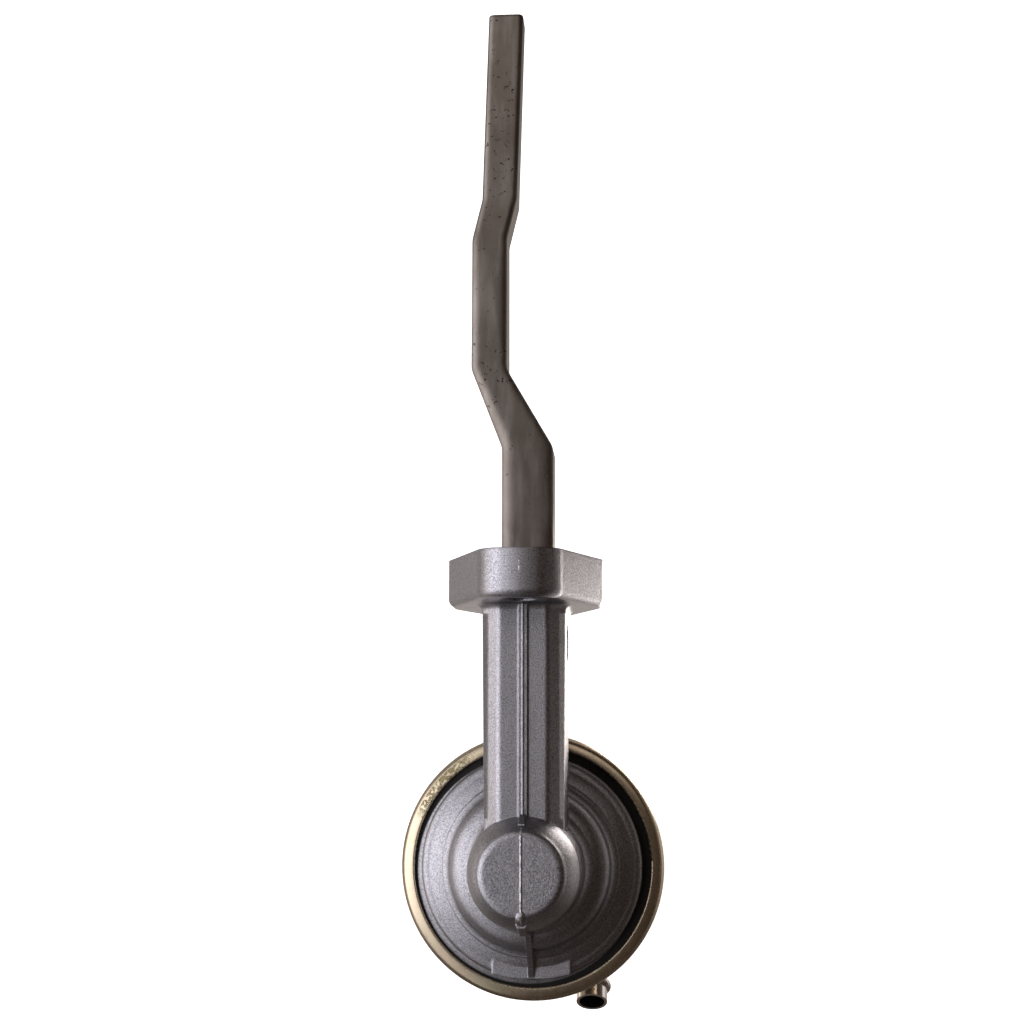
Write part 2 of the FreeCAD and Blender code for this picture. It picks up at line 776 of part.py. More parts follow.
def across(label, inner, outer, start, end, axis_y):
    """A ring along X between two stations, about an axis at height 0; a plain rod if inner is 0."""
    body = new_body(label)
    sketch = new_sketch(body, label + "_outline", "YZ_Plane", (0, 0, start))
    circle(sketch, outer, axis_y, 0)
    if inner is not None:
        circle(sketch, inner, axis_y, 0)
    pad(body, label + "_length", sketch, end - start)
    return body


def pivot():
    """Bush, pin, two plugs and two spacers on the rocker axis."""
    axis_y = -s.pivot_offset
    across("rocker_bush", s.pin_radius + s.running_clearance, BUSH_OUTER,
           -s.hub_half_width, s.hub_half_width, axis_y)
    across("rocker_pin", None, s.pin_radius, -PLUG_INNER, PLUG_INNER, axis_y)
    across("pin_plug_left", None, s.plug_radius, -PLUG_OUTER, -PLUG_INNER, axis_y)
    across("pin_plug_right", None, s.plug_radius, PLUG_INNER, PLUG_OUTER, axis_y)
    gap = s.face_clearance / 2
    across("pin_spacer_left", s.pin_radius, s.spacer_radius,
           -s.slot_half_width, -LINK_OUTER - gap, axis_y)
    across("pin_spacer_right", s.pin_radius, s.spacer_radius,
           LINK_OUTER + gap, s.slot_half_width, axis_y)


def link_lever():
    """The folded sheet link: two ears on the pin, a bridge over the rocker and two hooked fingers."""
    body = new_body("link_lever")
    web_top = s.inner_arm_top + s.face_clearance + s.link_sheet
    web_start = -s.pivot_offset - s.link_web_start
    web_end = web_start - s.link_web_length
    tail_end = -s.axis_offset - s.link_tail
    side = new_sketch(body, "link_side", "YZ_Plane")
    hook_foot = s.hook_top - s.link_sheet
    outline(side, [
        (-s.pivot_offset, s.link_ear_radius),
        (web_start, web_top),
        (web_end, web_top),
        (web_end - s.link_tail, s.link_tail_top),
        (tail_end, s.link_tail_top),
        (tail_end, hook_foot),
        (web_end, hook_foot),
        (-s.pivot_offset, -s.link_ear_radius, s.link_ear_radius),
        (-s.pivot_offset + s.link_ear_radius, 0, s.link_ear_radius),
    ])
    pad(body, "link_cheeks", side, LINK_OUTER * 2, both_ways=True)
    channel = new_sketch(body, "link_channel", "XZ_Plane", (0, 0, 0))
    outline(channel, mirrored([
        (LINK_INNER, web_top - s.link_sheet),
        (LINK_INNER, s.hook_top - s.link_sheet * 2),
    ]))
    pocket(body, "link_inside", channel, s.axis_offset * 2, reverse=True)
    ears = new_sketch(body, "link_ear_gap", "XY_Plane", (0, 0, s.link_tail_top))
    outline(ears, mirrored([
        (LINK_INNER, web_start),
        (LINK_INNER, 0),
    ]))
    pocket(body, "link_ear_room", ears, s.dome_roof, reverse=True)
    for hand, name in ((1, "right"), (-1, "left")):
        hook = new_sketch(body, "hook_plan_" + name, "XY_Plane", (0, 0, hook_foot))
        outline(hook, [
            (LINK_OUTER * hand, -s.axis_offset - s.hook_half_length),
            ((s.rod_radius + s.face_clearance) * hand, -s.axis_offset - s.hook_half_length),
            ((s.rod_radius + s.face_clearance) * hand, -s.axis_offset + s.hook_half_length),
            (LINK_OUTER * hand, -s.axis_offset + s.hook_half_length),
        ])
        pad(body, "hook_" + name, hook, s.link_sheet)
    bore = new_sketch(body, "link_bore", "YZ_Plane")
    circle(bore, s.pin_radius + s.running_clearance, -s.pivot_offset, 0)
    pocket(body, "link_pin_bore", bore, s.flange_half_width * 2, both_ways=True)


def rod_and_diaphragm():
    """Pull rod, its seal and retainer, the diaphragm with its two plates, and the nut."""
    head_foot = s.hook_top + s.face_clearance
    head_top = head_foot + s.rod_head_thickness
    rod_foot = CENTRE_FOOT - s.plate_thickness - s.nut_height
    thread = s.rod_radius - s.edge_round
    turned("pull_rod", [
        (0, head_top),
        (s.rod_head_radius - s.edge_round, head_top, -s.edge_round),
        (s.rod_head_radius, head_top - s.edge_round),
        (s.rod_head_radius, head_foot),
        (s.rod_radius, head_foot),
        (s.rod_radius, CENTRE_TOP + s.plate_thickness),
        (thread, CENTRE_TOP + s.plate_thickness),
        (thread, rod_foot - s.edge_round),
        (0, rod_foot - s.edge_round),
    ], AXIS)
    slide = s.rod_radius + s.running_clearance
    turned("rod_seal", [
        (slide + s.face_clearance, SEAL_FOOT),
        (s.seal_bore, SEAL_FOOT),
        (s.seal_bore, s.seal_bore_roof),
        (slide + s.face_clearance, s.seal_bore_roof),
        (slide + s.face_clearance, s.seal_bore_roof - s.edge_round),
        (slide + s.edge_round * 2, s.seal_bore_roof - s.seal_height / 2),
        (slide + s.face_clearance, SEAL_FOOT + s.edge_round),
    ], AXIS)
    lip = s.spring_pocket_roof
    turned("seal_retainer", [
        (slide + s.edge_round, RETAINER_FOOT),
        (s.seal_bore + s.retainer_sheet, RETAINER_FOOT),
        (s.seal_bore + s.retainer_sheet, lip - s.retainer_sheet),
        (s.retainer_radius, lip - s.retainer_sheet),
        (s.retainer_radius, lip),
        (s.seal_bore, lip),
        (s.seal_bore, SEAL_FOOT),
        (slide + s.edge_round, SEAL_FOOT),
    ], AXIS)
    diaphragm_turning()
    plate_foot = CENTRE_TOP
    plate_top = CENTRE_TOP + s.plate_thickness
    turned("upper_diaphragm_plate", [
        (thread, plate_foot),
        (s.plate_radius - s.plate_lip, plate_foot, s.plate_lip),
        (s.plate_radius, plate_foot + s.plate_lip),
        (s.plate_radius - s.plate_thickness, plate_foot + s.plate_lip, -(s.plate_lip - s.plate_thickness)),
        (s.plate_radius - s.plate_lip, plate_top),
        (thread, plate_top),
    ], AXIS)
    lower_top = CENTRE_FOOT
    lower_foot = CENTRE_FOOT - s.plate_thickness
    turned("lower_diaphragm_plate", [
        (thread, lower_top),
        (thread, lower_foot),
        (s.plate_radius - s.plate_lip, lower_foot, -(s.plate_lip - s.plate_thickness)),
        (s.plate_radius - s.plate_thickness, lower_top - s.plate_lip),
        (s.plate_radius, lower_top - s.plate_lip, s.plate_lip),
        (s.plate_radius - s.plate_lip, lower_top),
    ], AXIS)
    nut = new_body("rod_nut")
    flats = new_sketch(nut, "nut_outline", "XY_Plane", (0, -s.axis_offset, lower_foot - s.nut_height))
    corner = s.nut_across_flats / math.sqrt(3)
    half_corner = corner / 2
    across_half = s.nut_across_flats / 2
    outline(flats, [
        (corner, 0), (half_corner, across_half), (-half_corner, across_half),
        (-corner, 0), (-half_corner, -across_half), (half_corner, -across_half),
    ])
    circle(flats, thread)
    pad(nut, "nut_length", flats, s.nut_height)


def diaphragm_turning():
    """The fabric-backed rubber sheet, clamped at its rim and dished to the plates."""
    sheet_radius = s.clamp_radius - s.edge_round
    clamp_inner = s.bowl_radius - s.sheet
    slope_end = s.plate_radius + s.plate_lip
    turned("diaphragm", [
        (s.rod_radius - s.edge_round, CENTRE_FOOT),
        (slope_end, CENTRE_FOOT),
        (clamp_inner, DIAPHRAGM_FOOT),
        (sheet_radius, DIAPHRAGM_FOOT),
        (sheet_radius, s.parting_height),
        (clamp_inner, s.parting_height),
        (slope_end, CENTRE_TOP),
        (s.rod_radius - s.edge_round, CENTRE_TOP),
    ], AXIS)


def coil(label, radius, wire, turns, foot, top, place):
    """A compression spring of half-turn arcs, each tilted by half the pitch, between two heights."""
    coil_radius = float(radius)
    wire_radius = float(wire) / 2
    low = float(foot) + wire_radius
    half_turns = round(turns * 2)
    rise = (float(top) - wire_radius - low) / half_turns
    bulge = math.hypot(coil_radius, rise / 2)
    arcs = []
    for index in range(half_turns):
        side = 1 if index % 2 == 0 else -1
        start = Vector(coil_radius * side, 0, rise * index)
        middle = Vector(0, bulge * side, rise * (index + 0.5))
        end = Vector(-coil_radius * side, 0, rise * (index + 1))
        arcs.append(Part.Arc(start, middle, end).toShape())
    section = Part.Wire(Part.makeCircle(wire_radius, Vector(coil_radius, 0, 0), Vector(0, 1, 0)))
    item = doc.addObject("Part::Feature", label)
    item.Label = label
    item.Shape = Part.Wire(arcs).makePipeShell([section], True, False)
    item.Placement = Placement(Vector(float(place[0]), float(place[1]), low), Rotation())
    parts[label] = item


def springs():
    """The rocker's return spring in the dome and the diaphragm spring below the casting."""
    coil("rocker_return_spring", s.return_coil_radius, s.return_wire, RETURN_TURNS,
         s.inner_arm_top, s.dome_roof, AXIS)
    coil("diaphragm_spring", s.diaphragm_coil_radius, s.diaphragm_wire, DIAPHRAGM_TURNS,
         CENTRE_TOP + s.plate_thickness, s.spring_pocket_roof - s.retainer_sheet, AXIS)


def lower_body():
    """The drawn steel lower body with its rolled rim, bowl and bottom flange."""
    outer = RIM_RADIUS
    inner = outer - s.sheet
    lip_top = CLAMP_TOP + s.sheet
    seat_foot = DIAPHRAGM_FOOT - s.sheet
    bowl_inner = s.bowl_radius - s.sheet
    flange_top = BOWL_FOOT + s.sheet
    body = turned("lower_body", [
        (RIM_LIP, CLAMP_TOP),
        (inner, CLAMP_TOP),
        (inner, DIAPHRAGM_FOOT),
        (bowl_inner, DIAPHRAGM_FOOT),
        (bowl_inner, BOWL_FOOT),
        (BOWL_FLANGE, BOWL_FOOT),
        (BOWL_FLANGE, flange_top),
        (s.bowl_radius, flange_top),
        (s.bowl_radius, seat_foot),
        (outer - s.rim_round, seat_foot, s.rim_round),
        (outer, seat_foot + s.rim_round),
        (outer, lip_top - s.rim_round, s.rim_round),
        (outer - s.rim_round, lip_top),
        (RIM_LIP + s.edge_round, lip_top, s.edge_round),
        (RIM_LIP, lip_top - s.edge_round),
    ], AXIS)
    hole = new_sketch(body, "outlet_hole", "XZ_Plane", (0, 0, s.axis_offset + OUTLET_START))
    circle(hole, s.tube_radius, s.outlet_x, s.outlet_height)
    pocket(body, "outlet_opening", hole, s.bowl_radius, reverse=True)


def valve_plate():
    """The pressed-in plate that carries both valves, with the wall between the two chambers."""
    radius = s.bowl_radius - s.sheet
    foot = VALVE_PLATE_TOP - s.valve_plate_thickness
    body = turned("valve_plate", [
        (0, foot), (radius, foot), (radius, VALVE_PLATE_TOP), (0, VALVE_PLATE_TOP),
    ], AXIS)
    wall = new_sketch(body, "wall_plan", "XY_Plane", (0, -s.axis_offset, BOWL_FOOT))
    reach = radius - s.edge_round
    outline(wall, mirrored([(s.partition_half, reach), (s.partition_half, -reach)]))
    pad(body, "chamber_wall", wall, foot - BOWL_FOOT + s.edge_round)
    holes = new_sketch(body, "valve_holes", "XY_Plane", (0, -s.axis_offset, VALVE_PLATE_TOP))
    for hand in (-1, 1):
        circle(holes, s.cage_radius, s.valve_offset * hand, 0)
    pocket(body, "valve_openings", holes, s.valve_plate_thickness)


def valve(name, hand, up):
    """One spring-loaded disc valve: cage, disc, spring and pressed-in retainer."""
    centre = (s.valve_offset * hand, -s.axis_offset)
    way = 1 if up else -1
    middle = VALVE_PLATE_TOP - s.valve_plate_thickness / 2
    base = middle - (s.valve_plate_thickness / 2 + s.cage_stand) * way

    def level(rise):
        return base + rise * way

    wall_inner = s.cage_radius - s.cage_wall
    hole_edge = s.flow_circle + s.flow_hole_radius
    cage = turned(name + "_valve_cage", [
        (0, level(0)),
        (s.cage_radius, level(0)),
        (s.cage_radius, level(s.cage_height)),
        (wall_inner, level(s.cage_height)),
        (wall_inner, level(s.cage_floor)),
        (hole_edge, level(s.cage_floor)),
        (0, level(s.cage_floor)),
    ], centre)
    hole = new_sketch(cage, name + "_flow_hole", "XY_Plane", (centre[0], centre[1], middle))
    circle(hole, s.flow_hole_radius, s.flow_circle, 0)
    cut = pocket(cage, name + "_flow_cut", hole, s.cage_height * 4, both_ways=True)
    polar(cage, name + "_flow_holes", cut, hole, FLOW_HOLES)
    disc_top = s.cage_floor + s.disc_thickness
    ring(name + "_valve_disc", 0, s.disc_radius, level(s.cage_floor), level(disc_top), centre)
    retainer_foot = s.cage_height - s.retainer_thickness
    low, high = sorted((level(disc_top), level(retainer_foot)), key=float)
    coil(name + "_valve_spring", s.valve_coil_radius, s.valve_wire, VALVE_TURNS, low, high, centre)
    retainer = ring(name + "_valve_retainer", 0, wall_inner, level(retainer_foot),
                    level(s.cage_height), centre)
    window = new_sketch(retainer, name + "_window", "XY_Plane", (centre[0], centre[1], middle))
    circle(window, s.flow_hole_radius, s.flow_circle + s.edge_round, 0)
    opening = pocket(retainer, name + "_window_cut", window, s.cage_height * 4, both_ways=True)
    polar(retainer, name + "_windows", opening, window, RETAINER_WINDOWS)


def cover_and_gasket():
    """The bottom cover crimped round the bowl's lower flange, and the gasket between them."""
    body = turned("cover_gasket", [
        (GASKET_INNER, GASKET_FOOT), (BOWL_FLANGE, GASKET_FOOT),
        (BOWL_FLANGE, BOWL_FOOT), (GASKET_INNER, BOWL_FOOT),
    ], AXIS)
    bar = new_sketch(body, "gasket_bar", "XY_Plane", (0, -s.axis_offset, GASKET_FOOT))
    reach = GASKET_INNER + s.edge_round
    outline(bar, mirrored([(s.partition_half * 2, reach), (s.partition_half * 2, -reach)]))
    pad(body, "bar", bar, s.gasket_thickness)
    inner = COVER_RADIUS - s.sheet
    lip_foot = BOWL_FOOT + s.sheet
    cover = turned("bottom_cover", [
        (0, COVER_FOOT),
        (COVER_RADIUS - s.rim_round, COVER_FOOT, s.rim_round),
        (COVER_RADIUS, COVER_FOOT + s.rim_round),
        (COVER_RADIUS, lip_foot + s.sheet - s.edge_round, s.edge_round),
        (COVER_RADIUS - s.edge_round, lip_foot + s.sheet),
        (COVER_LIP, lip_foot + s.sheet),
        (COVER_LIP, lip_foot),
        (inner, lip_foot),
        (inner, GASKET_FOOT),
        (0, GASKET_FOOT),
    ], AXIS)
    hole = new_sketch(cover, "inlet_hole", "XY_Plane", (s.inlet_x, -s.axis_offset, GASKET_FOOT))
    circle(hole, s.tube_radius)
    pocket(cover, "inlet_opening", hole, s.sheet)


def inlet_nipple():
    """The straight hose nipple below the bottom cover."""
    mouth = COVER_FOOT - s.inlet_length
    bead = mouth + s.bead_setback
    bore = s.tube_radius - s.tube_wall
    turned("inlet_nipple", [
        (bore, GASKET_FOOT),
        (s.tube_radius, GASKET_FOOT),
        (s.tube_radius, COVER_FOOT),
        (s.tube_radius + s.inlet_collar, COVER_FOOT),
        (s.tube_radius + s.inlet_collar, COVER_FOOT - s.sheet),
        (s.tube_radius, COVER_FOOT - s.sheet),
        (s.tube_radius, bead + s.bead_length, -BEAD_CURVE),
        (s.tube_radius + s.bead_proud, bead + s.bead_length / 2, -BEAD_CURVE),
        (s.tube_radius, bead),
        (s.tube_radius, mouth),
        (bore, mouth),
    ], (s.inlet_x, -s.axis_offset))


def tube_path(body, name):
    """The centre line of the outlet: out of the bowl, round the bend and up to the mouth."""
    rise = math.radians(float(s.outlet_rise))
    start = -s.axis_offset - OUTLET_START
    bend = -s.axis_offset - OUTLET_RUN
    spine = new_sketch(body, name, "YZ_Plane", (0, 0, s.outlet_x))
    radius = s.outlet_bend
    arc_y = bend - radius * math.sin(rise)
    arc_z = s.outlet_height + radius * (1 - math.cos(rise))
    tip_y = arc_y - s.outlet_tip * math.cos(rise)
    tip_z = arc_z + s.outlet_tip * math.sin(rise)
    corners = [(start, s.outlet_height), (bend, s.outlet_height), (arc_y, arc_z), (tip_y, tip_z)]
    points = [Vector(float(u), float(v), 0) for u, v in corners]
    spine.addGeometry(Part.LineSegment(points[0], points[1]))
    spine.addGeometry(arc_between(points[1], points[2], -float(radius)))
    spine.addGeometry(Part.LineSegment(points[2], points[3]))
    doc.recompute()
    return spine, points


def outlet_nipple():
    """The bent hose nipple at the front of the bowl, with its bead."""
    body = new_body("outlet_nipple")
    spine, points = tube_path(body, "outlet_path")
    mouth = points[3]
    way = (points[3] - points[2]).normalize()
    for name, radius in (("outlet_tube", s.tube_radius), ("outlet_bore", s.tube_radius - s.tube_wall)):
        section = new_sketch(body, name + "_section", "XZ_Plane", (0, 0, s.axis_offset + OUTLET_START))
        circle(section, radius, s.outlet_x, s.outlet_height)
        if name == "outlet_tube":
            pipe = body.newObject("PartDesign::AdditivePipe", name)
            pipe.Profile = section
            pipe.Spine = (spine, [])
            doc.recompute()
            outlet_bead(body, mouth, way)
        else:
            pipe = body.newObject("PartDesign::SubtractivePipe", name)
            pipe.Profile = section
            pipe.Spine = (spine, [])
            doc.recompute()


def outlet_bead(body, mouth, way):
    """The raised bead that holds the hose, turned about the last straight run."""
    sketch = body.newObject("Sketcher::SketchObject", "bead_profile")
    sketch.AttachmentSupport = [(plane(body, "YZ_Plane"), "")]
    sketch.MapMode = "FlatFace"
    turn_to = math.degrees(math.atan2(-way.x, way.y))
    sketch.AttachmentOffset = Placement(Vector(mouth.x, mouth.y, float(s.outlet_x)),
                                        Rotation(Vector(0, 0, 1), turn_to))
    inner = s.tube_radius - s.tube_wall / 2
    back = -s.bead_setback - s.bead_length
    outline(sketch, [
        (inner, back),
        (s.tube_radius, back, BEAD_CURVE),
        (s.tube_radius + s.bead_proud, back + s.bead_length / 2, BEAD_CURVE),
        (s.tube_radius, -s.bead_setback),
        (inner, -s.bead_setback),
    ])
    turn(body, "outlet_bead", sketch)


def check_and_write():
    """Proves every object and sub-part, then writes one file for each sub-part."""
    doc.recompute()
    for item in doc.Objects:
        if "Invalid" in item.State or "Error" in item.State:
            raise RuntimeError("%s is %s" % (item.Name, item.State))
    for label, item in parts.items():
        if item.Shape.isNull() or not item.Shape.isValid() or item.Shape.Volume <= 0:
            raise RuntimeError(label + " has no valid solid")
        if len(item.Shape.Solids) != 1:
            raise RuntimeError("%s has %d solids" % (label, len(item.Shape.Solids)))
    os.makedirs("parts", exist_ok=True)
    for label, item in parts.items():
        item.Shape.exportStep("parts/%s.step" % label)
        print("%-24s %9.1f mm3" % (label, item.Shape.Volume))


upper_housing()
rocker_arm()
pivot()
link_lever()
rod_and_diaphragm()
springs()
lower_body()
valve_plate()
valve("inlet", -1, True)
valve("outlet", 1, False)
cover_and_gasket()
inlet_nipple()
outlet_nipple()
check_and_write()
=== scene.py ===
import json
import math

import bmesh
import bpy
from mathutils import Matrix, Vector


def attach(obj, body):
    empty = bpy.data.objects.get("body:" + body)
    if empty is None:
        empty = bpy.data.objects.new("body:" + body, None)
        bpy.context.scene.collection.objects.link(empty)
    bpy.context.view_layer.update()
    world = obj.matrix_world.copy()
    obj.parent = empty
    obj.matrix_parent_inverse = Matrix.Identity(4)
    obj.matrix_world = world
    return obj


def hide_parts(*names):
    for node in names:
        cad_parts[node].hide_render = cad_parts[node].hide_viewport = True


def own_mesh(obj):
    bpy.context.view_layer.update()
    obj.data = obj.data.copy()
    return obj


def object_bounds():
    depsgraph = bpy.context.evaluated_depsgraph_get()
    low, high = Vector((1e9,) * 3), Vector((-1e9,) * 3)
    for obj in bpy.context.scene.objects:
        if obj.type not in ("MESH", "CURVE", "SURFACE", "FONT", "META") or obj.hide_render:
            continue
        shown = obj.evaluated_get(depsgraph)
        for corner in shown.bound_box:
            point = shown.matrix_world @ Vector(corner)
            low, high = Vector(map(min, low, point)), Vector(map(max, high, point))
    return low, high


# Mechanical fuel pump seen from above the dome, in metres, in the frame of its parts:
# origin in the mounting face on the neck's axis, +Y along the rocker arm, +Z up the dome.

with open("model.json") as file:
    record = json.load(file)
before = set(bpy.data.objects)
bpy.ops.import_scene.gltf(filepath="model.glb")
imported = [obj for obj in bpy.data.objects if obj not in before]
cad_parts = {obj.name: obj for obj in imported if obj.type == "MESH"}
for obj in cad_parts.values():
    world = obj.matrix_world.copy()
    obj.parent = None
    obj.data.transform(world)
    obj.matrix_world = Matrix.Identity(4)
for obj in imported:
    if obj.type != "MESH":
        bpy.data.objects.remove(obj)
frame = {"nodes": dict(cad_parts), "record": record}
cad_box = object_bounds()

MM = 0.001
NODES = frame["nodes"]

# Places on the pump
PUMP_AXIS = -0.0895
CAP_FOOT = 22 * MM
CAP_BACK = -74 * MM
NECK_HALF = 12.2 * MM
NECK_ENDS = (-74 * MM, -17 * MM)
SKIRT_RADIUS = 33.4 * MM
LEDGE_HEIGHTS = (-32 * MM, -25.5 * MM)
GAP_CENTRE = (-1.1 * MM, -0.9 * MM, 0)
GAP_RADIUS = 33.9 * MM
RIM_LIP = 35.9 * MM
RIM_EDGE = 40.0 * MM
FLANGE_BACK = -14.5 * MM
NOSE_FOOT = 30 * MM
NOSE_HALF = 12 * MM

# Cast aluminium: colours from dark to light, shade, gloss, and heights of its grain and dents
CAST_COLOURS = ((0.165, 0.160, 0.180), (0.43, 0.42, 0.46))
CAST_SHADE = (0.86, 1.1)
CAST_METAL = 0.95
CAST_ROUGHNESS = (0.24, 0.38)
CAST_GRAIN = 0.42 * MM
CAST_GRAIN_HEIGHT = 0.11 * MM
DENT_SIZE = 2.6 * MM
DENT_HEIGHT = 0.10 * MM
# Painted shade: near-black colour painted on the ledge under the rolled rim, where shade falls
GAP_SHADE_COLOUR = (0.012, 0.011, 0.010)
LEDGE_FALL = -0.3

# Its edges: radius at the seam, added away from the seam, and added on the cap
SEAM_ROUND = 0.40 * MM
SIDE_ROUND = 0.45 * MM
CAP_ROUND = 1.2 * MM
NOSE_CROWN = 22 * MM
NECK_LEAN = 1.5

# Flash along the seam, on the cap and on the flange
FLASH_COLOUR = (0.92, 0.90, 0.88)
FLASH_SHARE = 0.8
FLASH_HALF = (0.10 * MM, 0.24 * MM)
FLASH_FOOT = 14 * MM
CAP_FLASH = (-103 * MM, -77 * MM)
FLANGE_FLASH = (-6.5 * MM, -3.5 * MM)

# Forged steel: colours, gloss, edge radius at the tip and what is added nearer the flange, and its pits
STEEL_COLOURS = ((0.115, 0.095, 0.083), (0.215, 0.190, 0.175))
WORN_COLOUR = (0.29, 0.27, 0.255)
PIT_COLOUR = (0.05, 0.035, 0.03)
STEEL_METAL = 0.95
STEEL_ROUGHNESS = (0.26, 0.40)
TIP_ROUND = 1.3 * MM
CRANK_ROUND = 1.7 * MM
ROOT_ROUND = 1.8 * MM
TIP_PITS = (112 * MM, 146 * MM)
CRANK_PITS = (45 * MM, 62 * MM)
PIT_GATHER = 0.045
PIT_DEPTH = 0.12 * MM
SKIN_HEIGHT = 0.035 * MM

# Yellow zinc: colours, gloss, the rim's crown and its galled place
ZINC_COLOURS = ((0.44, 0.36, 0.26), (0.64, 0.56, 0.43))
ZINC_PINK = (0.62, 0.44, 0.38)
ZINC_GREEN = (0.48, 0.53, 0.34)
ZINC_METAL = 0.97
ZINC_ROUGHNESS = (0.20, 0.34)
ZINC_SKIN_HEIGHT = 0.022 * MM
RIM_CROWN = 7.0 * MM
GALLED_COLOUR = (0.20, 0.17, 0.09)
GALLED_AZIMUTH = 138
GALLED_DEPTH = 0.10 * MM

# The drop on the cap: how far its middle is from the axis at the cap's top, how much further for each
# metre down, and rings of height and radius
CAP_TOP = 25 * MM
DROP_REACH = 11.0 * MM
DROP_SLOPE = 0.33
DROP_SIDES = 32
DROP_RINGS = ((25.45 * MM, 0.4 * MM), (25.30 * MM, 1.0 * MM), (24.8 * MM, 1.5 * MM),
              (23.8 * MM, 1.85 * MM), (20.0 * MM, 2.1 * MM), (14.8 * MM, 2.3 * MM))

# Springs and the diaphragm, copied as separate pieces: node, joint, height of the end that stays, travel of
# the other end
SQUEEZED = (("rocker_return_spring", "rocker_hinge", 21.4 * MM, 4.6 * MM),
            ("diaphragm_spring", "rod_slide", -18.6 * MM, 4.6 * MM),
            ("diaphragm", "rod_slide", -30.0 * MM, 4.6 * MM),
            ("inlet_valve_spring", "inlet_valve_lift", -37.7 * MM, 1.5 * MM),
            ("outlet_valve_spring", "outlet_valve_lift", -45.3 * MM, 1.5 * MM))

# Camera
FOCAL_PIXELS = 1700.0
FRAME_PIXELS = 1024.0
SENSOR_MM = 36.0
CAMERA_PLACE = Vector((0.03265, -0.06251, 0.49941))
CAMERA_TILT = math.radians(8.81)
CAMERA_LEAN = math.radians(4.24)
CAMERA_ROLL = math.radians(0.09)

# Light of the room. Azimuths are degrees from +X towards +Y. Each pair is where a light starts and
# where it is full, in degrees away from its azimuth or in the direction's own coordinates.
ROOM = (0.060, 0.043, 0.032)
LEFT_LIGHT = (0.99, 0.98, 1.0)
WARM_LIGHT = (1.0, 0.93, 0.86)
LEFT_SIDE = (-0.10, -0.40)
TALL_LIGHT = 1.7
TALL_AZIMUTH = 178
TALL_EDGE = (36, 14)
BROAD_LIGHT = 1.0
BROAD_AZIMUTH = 175
BROAD_EDGE = (100, 35)
OVERHEAD_LIGHT = 0.06
OVERHEAD_HEIGHT = (0.86, 0.99)
OVERHEAD_SIDE = (0.25, -0.10)
FAR_LIGHT = 0.85
FAR_ALONG = (0.28, 0.42)
FAR_HEIGHT = (0.70, 0.85)
RIGHT_LIGHT = 0.16
RIGHT_AZIMUTH = 10
RIGHT_EDGE = (30, 8)
RIGHT_HEIGHT = (0.38, 0.12)

# Floor: its place and its white
FLOOR_GAP = 0.035
FLOOR_SIDE = 6.0
FLOOR_WHITE = 0.9

# Painted reflection: glowing patches on the floor that only polished metal mirrors. Each pair is where a
# patch starts and where it is full.
GLOSSY_DIM = 0.85
FLOOR_CENTRE = (0.0, -0.085)
UNDER_LEVEL = 0.65
UNDER_REACH = (0.12, 0.05)
HOT_SPOT = (0.080, -0.014)
HOT_LEVEL = 8.0
HOT_REACH = (0.054, 0.026)
AROUND_LEVEL = 0.42
AROUND_AZIMUTH = 100
AROUND_EDGE = (150, 90)
AROUND_REACH = (0.40, 0.22)
RIGHT_LEVEL = 0.14
RIGHT_ACROSS = (0.0, 0.10)
BESIDE_LEVEL = 0.25
BESIDE_ACROSS = (0.06, 0.12)
BESIDE_ALONG = (0.06, 0.02)
FAR_LEFT_LEVEL = 2.0
FAR_LEFT_AZIMUTH = 178
FAR_LEFT_EDGE = (42, 18)
FAR_LEFT_REACH = (0.25, 0.50)


def make_camera():
    """The camera at the photograph's viewing angle, nearly straight down on the dome."""
    ahead = Vector((-math.sin(CAMERA_LEAN) * math.cos(CAMERA_TILT), math.sin(CAMERA_TILT),
                    -math.cos(CAMERA_LEAN) * math.cos(CAMERA_TILT)))
    right = ahead.cross(Vector((0, 1, 0))).normalized()
    up = right.cross(ahead)
    turn = Matrix((right, up, -ahead)).transposed() @ Matrix.Rotation(CAMERA_ROLL, 3, "Z")
    data = bpy.data.cameras.new("camera")
    data.sensor_width = SENSOR_MM
    data.lens = FOCAL_PIXELS / FRAME_PIXELS * SENSOR_MM
    data.clip_start = 0.01
    data.clip_end = 20
    camera = bpy.data.objects.new("camera", data)
    camera.matrix_world = Matrix.Translation(CAMERA_PLACE) @ turn.to_4x4()
    bpy.context.scene.collection.objects.link(camera)
    bpy.context.scene.camera = camera


